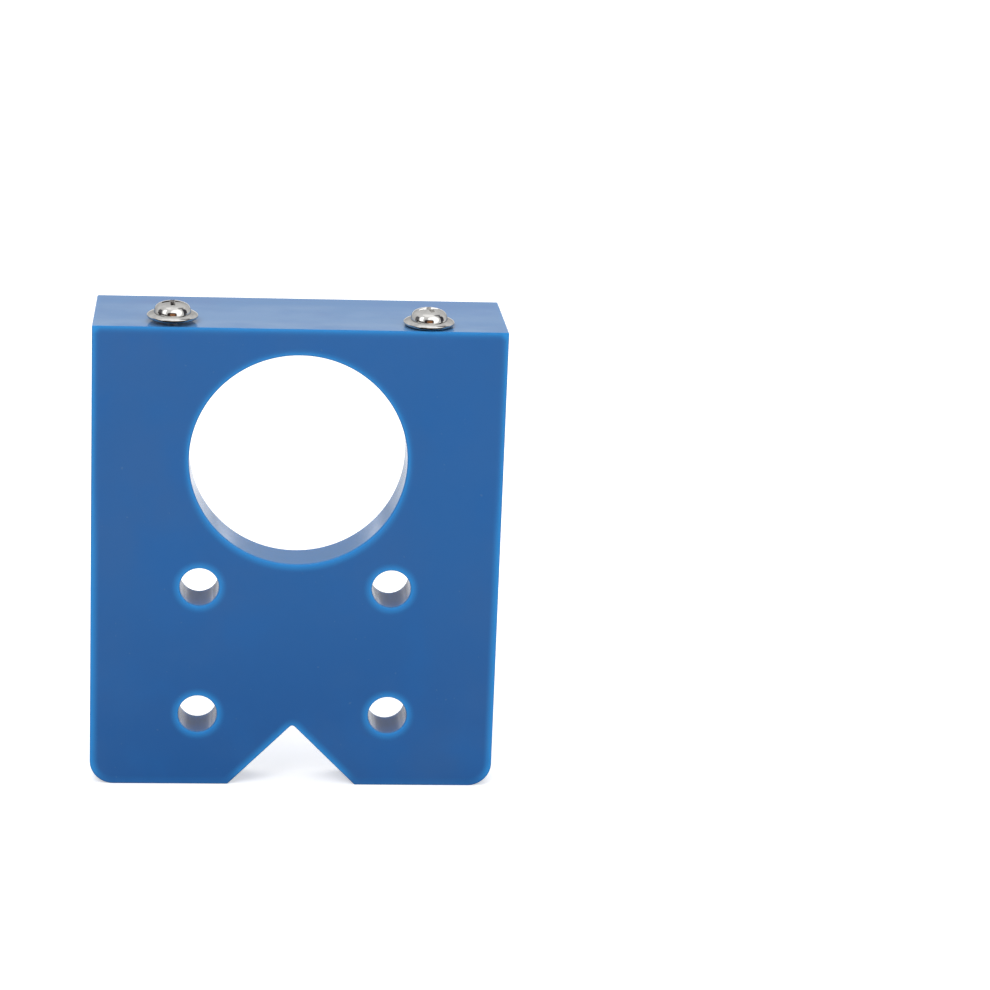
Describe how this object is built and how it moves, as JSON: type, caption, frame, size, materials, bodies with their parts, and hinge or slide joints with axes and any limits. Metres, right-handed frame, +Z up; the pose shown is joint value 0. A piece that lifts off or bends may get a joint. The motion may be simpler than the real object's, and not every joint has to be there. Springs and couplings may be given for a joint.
{
  "type": "hinge drilling jig",
  "caption": "L-shaped template block that guides drills for cup hinges and their mounting plates, with two screws in its top edge.",
  "frame": {"origin": "on the surface that the feet stand on, under the middle of the block's width and depth", "axes": "+X to the right as seen from the drill's side, +Y from the drill's side towards the panel, +Z up from the feet to the top face"},
  "size_m": [0.068, 0.0203, 0.0832],
  "materials": {
    "blue_plastic": "moulded, semi-gloss, slightly translucent at the edges",
    "plated_steel": "bright chrome plating"
  },
  "bodies": {
    "block": {"template_block": "blue_plastic"},
    "left_screw": {"adjusting_screw_left": "plated_steel"},
    "right_screw": {"adjusting_screw_right": "plated_steel"}
  },
  "joints": [
    {"name": "left_screw_travel", "type": "slide", "parent": "block", "child": "left_screw", "axis": [0, 0, 1], "range_m": [-0.00055, 0.003]},
    {"name": "right_screw_travel", "type": "slide", "parent": "block", "child": "right_screw", "axis": [0, 0, 1], "range_m": [-0.00014, 0.003]}
  ]
}
